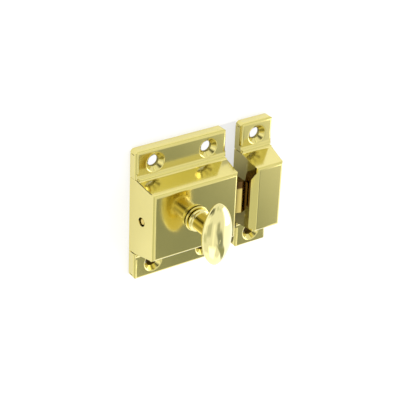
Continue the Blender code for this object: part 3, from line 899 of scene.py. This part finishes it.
@dataclass
class CollarBush:
    """The collar in the case's front wall that the spindle turns in."""

    bore: float = 0.0029
    flange_radius: float = 0.0047
    flange: float = 0.0005
    seat: float = 0.0142
    radius: float = 0.0036
    end: float = 0.0119
    ease: float = 0.0003
    ease_steps: int = 8

    def build(self, brass: Material) -> None:
        """Turns the collar, its rim eased."""
        front = self.seat + self.flange
        profile = [(self.bore, front)]
        centre = (self.flange_radius - self.ease, front - self.ease)
        profile += arc(centre, self.ease, 90, 0, self.ease_steps)
        profile += [(self.flange_radius, self.seat), (self.radius, self.seat)]
        profile += [(self.radius, self.end), (self.bore, self.end)]
        collar = BENCH.finished(BENCH.turned(profile), "collar_bush", brass)
        fitted(collar, Body.CASE, Slot.POLISHED, "spindle_bush")


@dataclass
class Spring:
    """The coil behind the bolt, which shortens as the bolt is drawn."""

    wire: float = 0.00025
    radius: float = 0.0021
    turns: float = 4.5
    depth: float = 0.0070
    coil_steps: int = 40
    wire_steps: int = 16

    def build(self, steel: Material) -> None:
        """Winds the wire along a spiral with Geometry Nodes."""
        low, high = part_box("bolt_spring")
        tree = GeometryTree("coil_spring")
        graph = tree.graph
        turns = tree.size("Turns", self.turns)
        radius = tree.size("Coil Radius", self.radius)
        wire = tree.size("Wire Radius", self.wire)
        length = tree.size("Length", high.x - low.x - 2 * self.wire)
        start = tree.size("Start", low.x + self.wire)
        depth = tree.size("Depth", self.depth)
        spiral = {"Resolution": self.coil_steps, "Rotations": turns, "Height": length}
        spiral.update({"Start Radius": radius, "End Radius": radius})
        coil = graph.node("GeometryNodeCurveSpiral", spiral).outputs[0]
        place = graph.vector(start, graph.times(depth, -1.0))
        turn = {"Geometry": coil, "Translation": place, "Rotation": (0.0, pi / 2, 0.0)}
        laid = graph.node("GeometryNodeTransform", turn).outputs[0]
        loop = {"Resolution": self.wire_steps, "Radius": wire}
        ring = graph.node("GeometryNodeCurvePrimitiveCircle", loop).outputs[0]
        wound = {"Curve": laid, "Profile Curve": ring, "Fill Caps": True}
        tree.close(graph.node("GeometryNodeCurveToMesh", wound).outputs[0])
        spring = tree.made(steel)
        spring.name = "wound_spring"
        spring.data.shade_smooth()
        spring.data.set_sharp_from_angle(angle=SHARP_ANGLE * 2)
        fitted(spring, Body.CASE, Slot.SPRING, "bolt_spring")
        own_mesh(spring)


@dataclass
class Case(FoldedShell):
    """The case: its bolt, rod and spindle all pass through holes in its walls."""

    name: str = "folded_case"
    slope_reach: float = 4.0
    left: float = -0.0185
    right: float = 0.0185
    left_lean: float = 0.0013
    right_lean: float = 0.0013
    flange: float = 0.0039
    depth: float = 0.0139
    foot: float = 0.0293
    top: float = 0.0256
    columns: int = 2
    pitch: float = 0.0216
    rod_hole: float = 0.0017
    bush_hole: float = 0.0039
    slot_gap: float = 0.00035
    slot_start: float = 0.0120

    def build(self, brass: Material, bolt: Bolt) -> None:
        """Folds the case and cuts the holes that its moving pieces need."""
        shell = self.shell()
        at = (0, -bolt.depth, 0)
        rod_end = self.left + 2 * CLEAR
        BENCH.boolean(shell, BENCH.bar(self.rod_hole, self.left - CLEAR, rod_end, ALONG_X, at))
        side, top = bolt.thickness / 2 + self.slot_gap, bolt.height / 2 + self.slot_gap
        slot = box_outline((-top, bolt.depth - side), (top, bolt.depth + side), self.sheet.thickness / 2)
        BENCH.boolean(shell, BENCH.prism(slot, ALONG_X, self.slot_start, self.right + CLEAR))
        low, high = self.depth - CLEAR, self.depth + CLEAR
        BENCH.boolean(shell, BENCH.bar(self.bush_hole, low, high, ALONG_Y, (0, 0, 0)))
        fitted(BENCH.finished(shell, self.name, brass), Body.CASE, Slot.POLISHED, "case_shell")


@dataclass
class Keeper(FoldedShell):
    """The keeper, with the ramp lip that the bolt's nose springs in behind."""

    name: str = "folded_keeper"
    left: float = 0.024795
    right: float = 0.038595
    left_lean: float = 0.0
    right_lean: float = 0.0026
    flange: float = 0.0036
    depth: float = 0.0146
    foot: float = 0.0290
    top: float = 0.0256
    columns: int = 1
    pitch: float = 0.0
    reach: float = 0.0022
    lip_angle: float = radians(45)
    upper_taper: float = 0.0042
    lower_taper: float = 0.0004
    lip_corner: float = 0.0006

    def lip(self) -> Object:
        """The tapered tongue that goes on from the front bend, back towards the case."""
        bend = self.sheet.outer_bend
        half = self.top / 2 - bend / 2
        sheet = self.sheet.thickness
        corners = [
            (-sheet / 2, -half),
            (self.reach, self.lower_taper - half),
            (self.reach, half - self.upper_taper),
            (-sheet / 2, half),
        ]
        outline = rounded(corners, [0, self.lip_corner, self.lip_corner, 0])
        along = Vector((-cos(self.lip_angle), sin(self.lip_angle), 0))
        outward = Vector((-sin(self.lip_angle), -cos(self.lip_angle), 0))
        centre = Vector((self.side(-1, self.depth) + bend, -self.depth + bend, 0))
        axes = Matrix((along, Vector((0, 0, 1)), outward)).transposed()
        return BENCH.moved(BENCH.prism(outline, axes, bend - sheet, bend), centre)

    def build(self, brass: Material) -> None:
        """Folds the keeper and adds its lip."""
        shell = self.shell()
        BENCH.boolean(shell, self.lip(), "UNION")
        fitted(BENCH.finished(shell, self.name, brass), Body.CASE, Slot.POLISHED, "keeper_shell")


@dataclass
class HiddenWorks:
    """The pieces inside the case, which keep their CAD shapes and take a finish."""

    finishes: tuple[tuple[Slot, tuple[str, ...]], ...] = (
        (Slot.BOLT, ("rear_bush", "thrust_washer", "spring_seat")),
        (Slot.PLATE, ("back_plate",)),
        (Slot.PIN, ("bolt_cam", "cam_spacer", "rest_stop_pin", "open_stop_pin")),
        (Slot.SPRING, ("cam_clip",)),
    )

    def dress(self, materials: dict[Slot, Material]) -> None:
        """Gives each piece the material of its slot."""
        for slot, nodes in self.finishes:
            for node in nodes:
                mesh = frame["nodes"][node].data
                mesh.materials.clear()
                mesh.materials.append(materials[slot])
                LOG.info("%s: %s", node, materials[slot].name)


@dataclass(frozen=True)
class Panel:
    """A soft-edged part of the surroundings, in degrees: azimuth from -Y towards +X, and elevation.

    With a slant, its azimuths are read after that many degrees for each degree of elevation are added.
    """

    azimuth: Pair
    elevation: Pair
    colour: Colour
    soft: float = 6.0
    slant: float = 0.0


@dataclass(frozen=True)
class SoftBox:
    """A soft lamp that faces the object, at an azimuth and elevation in degrees."""

    azimuth: float
    elevation: float
    width: float
    height: float
    brightness: float
    distance: float = 0.7

    def build(self) -> None:
        """Hangs the lamp."""
        data = bpy.data.lights.new("soft_box", "AREA")
        data.shape = "RECTANGLE"
        data.size, data.size_y = self.width, self.height
        data.energy = self.brightness * pi * self.width * self.height
        lamp = bpy.data.objects.new(data.name, data)
        lamp.location = direction(self.azimuth, self.elevation) * self.distance
        lamp.rotation_euler = lamp.location.to_track_quat("Z", "Y").to_euler()
        lamp.visible_camera = False
        bpy.context.scene.collection.objects.link(lamp)


def direction(azimuth: float, elevation: float) -> Vector:
    """The unit vector at an azimuth and elevation in degrees."""
    a, e = radians(azimuth), radians(elevation)
    return Vector((sin(a) * cos(e), -cos(a) * cos(e), sin(e)))


@dataclass
class Studio:
    """The pale surroundings, the paper sheet behind the catch, the lamp and the camera.

    Each panel lies over those before it. The camera's focal length is in sensor widths, and its shift is in
    metres across and up.
    """

    white: Colour = (0.98, 0.98, 0.98)
    panels: tuple[Panel, ...] = (
        Panel((-130.0, -42.0), (-4.0, 12.0), (1.2, 1.2, 1.2), 3.0),
        Panel((-48.0, -14.0), (-26.0, -5.0), (0.64, 0.65, 0.60), 4.0),
        Panel((-95.0, -48.0), (-35.0, -20.0), (0.72, 0.73, 0.66), 4.0),
        Panel((-140.0, -74.0), (-18.0, 10.0), (1.25, 1.25, 1.3), 4.0),
        Panel((24.0, 36.0), (4.0, 16.0), (0.84, 0.85, 0.80), 3.0),
        Panel((42.0, 110.0), (-60.0, 6.0), (1.35, 1.35, 1.5), 4.0),
        Panel((5.0, 24.0), (14.0, 34.0), (0.74, 0.75, 0.68), 4.0),
        Panel((-42.0, -16.0), (14.0, 46.0), (0.42, 0.42, 0.38), 4.0),
        Panel((-100.0, -42.0), (22.0, 52.0), (0.32, 0.32, 0.28), 4.0),
        Panel((-82.0, -52.0), (27.0, 43.0), (0.12, 0.12, 0.10), 3.0),
        Panel((-39.0, -28.0), (25.0, 38.0), (0.08, 0.08, 0.06), 3.0),
        Panel((6.0, 36.0), (34.0, 37.0), (0.68, 0.69, 0.62), 2.0),
        Panel((-4.0, 5.0), (-42.0, -12.0), (1.2, 1.2, 1.2), 3.0),
        Panel((-190.0, 190.0), (-95.0, -54.0), (1.35, 1.35, 1.4), 4.0),
        Panel((-26.0, 16.0), (-62.0, -41.0), (2.0, 2.0, 2.0), 4.0),
        Panel((-95.0, -62.0), (-52.0, -38.0), (0.36, 0.38, 0.26), 4.0, 3.0),
        Panel((13.0, 25.0), (-24.0, -13.0), (0.48, 0.49, 0.44), 3.0),
        Panel((-12.0, 9.5), (-41.0, -23.0), (0.31, 0.335, 0.32), 4.5, 1.0),
        Panel((29.5, 31.6), (-36.0, -32.2), (1.05, 1.05, 0.96), 0.5),
        Panel((34.0, 42.3), (40.0, 58.0), (1.25, 1.25, 1.15), 0.4),
        Panel((42.9, 46.5), (40.0, 58.0), (0.77, 0.79, 0.55), 0.4),
        Panel((48.5, 53.5), (40.0, 58.0), (0.55, 0.57, 0.30), 1.5),
    )
    lamp: SoftBox = SoftBox(64.0, -6.0, 0.46, 0.38, 1.6)
    sheet_size: float = 0.30
    sheet_back: float = 0.0003
    sheet_tuck: float = 0.0002
    paper: float = 0.62
    lift: float = 0.52
    # The strip of paper between the case and the keeper is darker than the sheet: a painted shadow. In
    # reflections its light fades out towards the bottom (gap_fade): painted shade.
    gap_paper: float = 0.30
    gap_lift: float = 0.63
    gap_glow: float = 0.38
    gap_fade: Pair = (-0.010, 0.022)
    # Tone of the dark pads behind the lower screw holes: painted shade.
    shade: Colour = (0.15, 0.105, 0.045)
    camera_azimuth: float = radians(34.60031)
    camera_elevation: float = radians(29.49364)
    camera_roll: float = radians(-2.42905)
    camera_focal: float = 3.433719
    camera_distance: float = 0.484177
    camera_shift: Pair = (-0.008964, -0.000606)
    sensor_width: float = 36.0
    nearest: float = 0.01
    paper_roughness: float = 0.9

    def band(self, graph: Graph, value: Socket, ends: Pair, soft: float) -> Socket:
        """A mask that is 1 between two angles and falls off softly outside them."""
        rise, fall = (
            graph.spread(value, edge - soft, edge + soft, interpolation_type="SMOOTHSTEP") for edge in ends
        )
        return graph.times(rise, graph.math("SUBTRACT", 1.0, fall))

    def surroundings(self) -> None:
        """Builds the world: white all round, with the panels where the real studio had them."""
        world = bpy.data.worlds.new("studio")
        bpy.context.scene.world = world
        world.use_nodes = True
        graph = Graph(world.node_tree)
        x, y, z = graph.parts(graph.node("ShaderNodeTexCoord").outputs["Generated"])
        azimuth = graph.math("DEGREES", graph.math("ARCTAN2", x, graph.times(y, -1.0)))
        elevation = graph.math("DEGREES", graph.math("ARCSINE", z))
        colour: Any = self.white
        for panel in self.panels:
            across = graph.math("MULTIPLY_ADD", elevation, panel.slant, azimuth)
            beside = self.band(graph, across, panel.azimuth, panel.soft)
            mask = graph.times(beside, self.band(graph, elevation, panel.elevation, panel.soft))
            colour = graph.mix(mask, colour, panel.colour)
        back = world.node_tree.nodes["Background"]
        graph.fill(back, {"Color": colour})
        seen = graph.node("ShaderNodeBackground", {"Color": (1.0, 1.0, 1.0, 1.0), "Strength": 1.0})
        camera = graph.node("ShaderNodeLightPath").outputs["Is Camera Ray"]
        mixed = graph.node("ShaderNodeMixShader", {0: camera, 1: back.outputs[0], 2: seen.outputs[0]})
        graph.fill(world.node_tree.nodes["World Output"], {"Surface": mixed.outputs[0]})

    def paper_material(
        self, name: str, tone: Colour, seen: float = 0.0, mirrored: float = 0.0, fade: Optional[Pair] = None
    ) -> Material:
        """White paper that can only be seen from its front.

        Args:
            name: the material's name.
            tone: the paper's colour.
            seen: how much whiter the camera sees it.
            mirrored: how much whiter polished metal shows it.
            fade: the heights between which the mirrored light grows from nothing, if it fades.

        Returns:
            The material.
        """
        material = bpy.data.materials.new(name)
        material.use_nodes = True
        graph = Graph(material.node_tree)
        shader = material.node_tree.nodes["Principled BSDF"]
        path = graph.node("ShaderNodeLightPath").outputs
        glint = graph.times(path["Is Glossy Ray"], mirrored)
        if fade:
            height = graph.parts(graph.node("ShaderNodeTexCoord").outputs["Object"])[2]
            glint = graph.times(glint, graph.spread(height, *fade))
        finish = {
            "Base Color": (*tone, 1.0),
            "Roughness": self.paper_roughness,
            "Specular IOR Level": 0.0,
            "Emission Color": (1.0, 1.0, 1.0, 1.0),
            "Emission Strength": graph.math("MULTIPLY_ADD", path["Is Camera Ray"], seen, glint),
        }
        graph.fill(shader, finish)
        behind = graph.node("ShaderNodeNewGeometry").outputs["Backfacing"]
        clear = graph.node("ShaderNodeBsdfTransparent").outputs[0]
        mixed = graph.node("ShaderNodeMixShader", {0: behind, 1: shader.outputs[0], 2: clear}).outputs[0]
        graph.fill(material.node_tree.nodes["Material Output"], {"Surface": mixed})
        return material

    def lay(self, name: str, bm: BMesh, material: Material) -> Object:
        """Turns a flat bmesh into a stage object that faces the camera's side."""
        mesh = bpy.data.meshes.new(name)
        bm.to_mesh(mesh)
        bm.free()
        mesh.materials.append(material)
        obj = bpy.data.objects.new(name, mesh)
        bpy.context.scene.collection.objects.link(obj)
        return obj

    def sheet(self, shells: Sequence[FoldedShell]) -> None:
        """Lays the paper sheet round the two shells, a darker strip between them as a painted shadow, and
        small pads of it behind their screw holes, the lower ones dark as painted shade.
        """
        edge, half = self.sheet_tuck, shells[0].sheet.height / 2
        walls = [-self.sheet_size]
        for shell in shells:
            walls += [shell.left + edge, shell.right - edge]
        walls.append(self.sheet_size)
        rows = [-self.sheet_size, edge - half, half - edge, self.sheet_size]
        bm, gap = bmesh.new(), bmesh.new()
        for i, (x0, x1) in enumerate(zip(walls, walls[1:])):
            for j, (z0, z1) in enumerate(zip(rows, rows[1:])):
                if j == 1 and i % 2:
                    continue
                corners = [(x0, z0), (x1, z0), (x1, z1), (x0, z1)]
                part = gap if j == 1 and i == len(shells) else bm
                part.faces.new([part.verts.new((x, self.sheet_back, z)) for x, z in corners])
        bmesh.ops.remove_doubles(bm, verts=bm.verts, dist=SAME_PLACE)
        paper, gap_paper = (self.paper,) * 3, (self.gap_paper,) * 3
        self.lay("paper_sheet", bm, self.paper_material("white_paper", paper, self.lift, self.lift))
        # The strip between the two shells: darker paper as a painted shadow, whose reflected light fades
        # towards the bottom as painted shade.
        strip = self.paper_material("gap_paper", gap_paper, self.gap_lift, self.gap_glow, self.gap_fade)
        self.lay("gap_strip", gap, strip)
        upper = self.lay("upper_pads", self.pads(shells, 1), self.paper_material("upper_pad", paper))
        upper.visible_camera = False
        # Painted shade: dark pads, seen by the camera, behind the lower screw holes.
        self.lay("lower_pads", self.pads(shells, -1), self.paper_material("lower_pad", self.shade))

    def pads(self, shells: Sequence[FoldedShell], sign: int) -> BMesh:
        """Small rounds of paper behind the upper (1) or lower (-1) screw holes; the lower ones, dark and
        seen by the camera, are painted shade.
        """
        bm = bmesh.new()
        turn = Matrix.Rotation(pi / 2, 4, "X")
        for shell in shells:
            middle = (shell.left + shell.right) / 2
            for column in range(shell.columns):
                x = middle + (column - (shell.columns - 1) / 2) * shell.pitch
                place = Matrix.Translation((x, self.sheet_back, sign * shell.holes.rows / 2))
                radius = shell.holes.head_radius
                bmesh.ops.create_circle(bm, cap_ends=True, segments=32, radius=radius, matrix=place @ turn)
        return bm

    def camera(self) -> None:
        """Places the camera where the photograph was taken from."""
        a, e = self.camera_azimuth, self.camera_elevation
        ahead = Vector((sin(a) * cos(e), cos(a) * cos(e), -sin(e)))
        right = Vector((cos(a), -sin(a), 0))
        up = right.cross(ahead)
        place = -self.camera_shift[0] * right - self.camera_shift[1] * up - self.camera_distance * ahead
        c, s = cos(self.camera_roll), sin(self.camera_roll)
        turned_right, turned_up = c * right - s * up, s * right + c * up
        matrix = Matrix((turned_right, turned_up, -ahead)).transposed().to_4x4()
        matrix.translation = place
        data = bpy.data.cameras.new("view")
        data.sensor_width = self.sensor_width
        data.lens = self.camera_focal * self.sensor_width
        data.clip_start = self.nearest
        camera = bpy.data.objects.new("view", data)
        camera.matrix_world = matrix
        bpy.context.scene.collection.objects.link(camera)
        bpy.context.scene.camera = camera

    def build(self, shells: Sequence[FoldedShell]) -> None:
        """Sets up everything that isn't the object."""
        self.surroundings()
        self.sheet(shells)
        self.lamp.build()
        self.camera()
        bpy.context.scene.view_settings.view_transform = "Standard"


def main() -> None:
    """Builds every piece in order, then the studio round it."""
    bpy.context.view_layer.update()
    materials = {slot: metal.build(slot.value) for slot, metal in METALS.items()}
    bolt, case, keeper = Bolt(), Case(), Keeper()
    case.build(materials[Slot.POLISHED], bolt)
    keeper.build(materials[Slot.POLISHED])
    CollarBush().build(materials[Slot.POLISHED])
    Knob().build(materials[Slot.KNOB])
    bolt.build(materials[Slot.BOLT], case)
    Spring().build(materials[Slot.SPRING])
    HiddenWorks().dress(materials)
    BENCH.clear()
    Studio().build((case, keeper))


if __name__ == "__main__":
    logging.basicConfig(level=logging.INFO, format="%(message)s")
    main()
